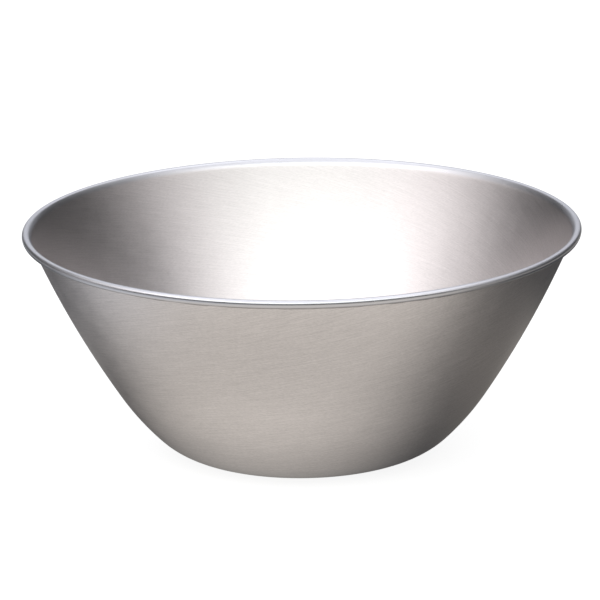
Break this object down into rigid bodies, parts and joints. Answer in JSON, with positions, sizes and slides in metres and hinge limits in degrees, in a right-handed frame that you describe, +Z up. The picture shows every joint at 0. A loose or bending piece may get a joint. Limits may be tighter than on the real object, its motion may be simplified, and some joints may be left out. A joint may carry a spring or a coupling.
{
  "type": "mixing bowl",
  "caption": "Wide stainless steel mixing bowl with a flat foot, flaring brushed wall and a rolled, wired rim.",
  "frame": {"origin": "centre of the flat underside, on the surface the bowl stands on", "axes": "+Z up along the bowl's axis, out of its mouth; the wire's ends meet on the +Y side"},
  "size_m": [0.275, 0.275, 0.1132],
  "materials": {
    "brushed_sheet": "fine brushed 18-8 stainless steel, brushed around the bowl inside and out, with a bright burnished rim",
    "wire": "plain drawn steel wire"
  },
  "bodies": {
    "root": {"bowl_shell": "brushed_sheet", "rim_wire": "wire"}
  },
  "joints": []
}
